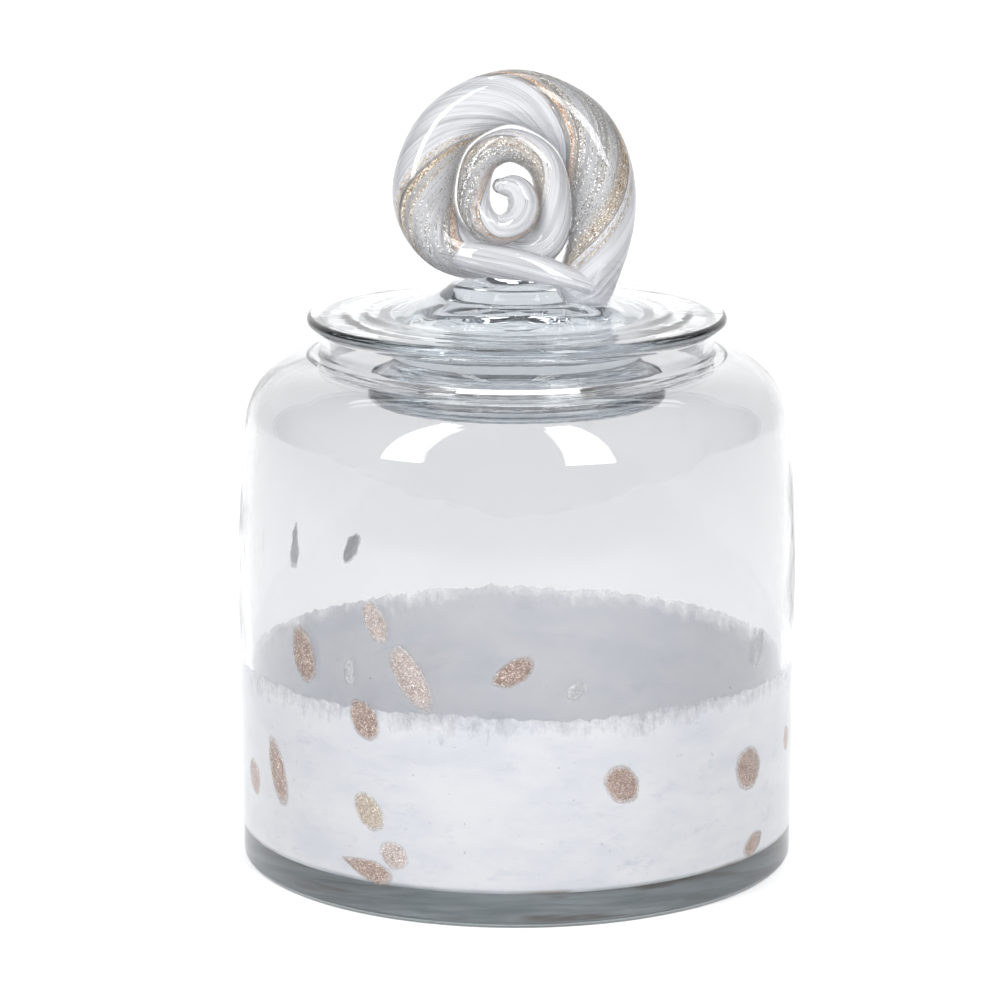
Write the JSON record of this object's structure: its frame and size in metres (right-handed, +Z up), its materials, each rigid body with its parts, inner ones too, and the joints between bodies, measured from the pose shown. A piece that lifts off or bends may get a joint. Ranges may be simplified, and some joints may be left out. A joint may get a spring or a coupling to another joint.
{
  "type": "lidded glass vanity jar",
  "caption": "Squat blown glass jar with a raised collar, a white lower layer and coloured flecks, and a lift-off lid with a spiral glass finial.",
  "frame": {"origin": "centre of the flat foot, on the surface the jar stands on", "axes": "+Z up along the jar's axis; the finial's spiral lies in the X-Z plane and its open face looks along -Y"},
  "size_m": [0.1574, 0.1574, 0.2232],
  "materials": {
    "clear_glass": "polished clear glass",
    "white_glass": "opaque white glass frit",
    "opal_glass": "opal white glass",
    "copper_aventurine": "opaque glass with copper glitter",
    "rose_aventurine": "opaque glass with rose glitter",
    "gold_aventurine": "opaque glass with gold glitter",
    "silver_aventurine": "grey glass with silver glitter"
  },
  "bodies": {
    "jar": {"gather": "clear_glass", "white_frit": "white_glass", "casing": "clear_glass", "copper_flecks": "copper_aventurine", "rose_flecks": "rose_aventurine", "gold_flecks": "gold_aventurine", "silver_flecks": "silver_aventurine"},
    "lid": {"lid_glass": "clear_glass", "cane_rise": "clear_glass", "cane_crown": "clear_glass", "cane_return": "clear_glass", "cane_curl": "clear_glass", "opal_strand": "opal_glass", "pale_strand": "opal_glass", "gold_strand": "gold_aventurine", "silver_strand": "silver_aventurine"}
  },
  "joints": [
    {"name": "lid_lift", "type": "slide", "parent": "jar", "child": "lid", "axis": [0, 0, 1], "range_m": [0, 0.08]}
  ]
}
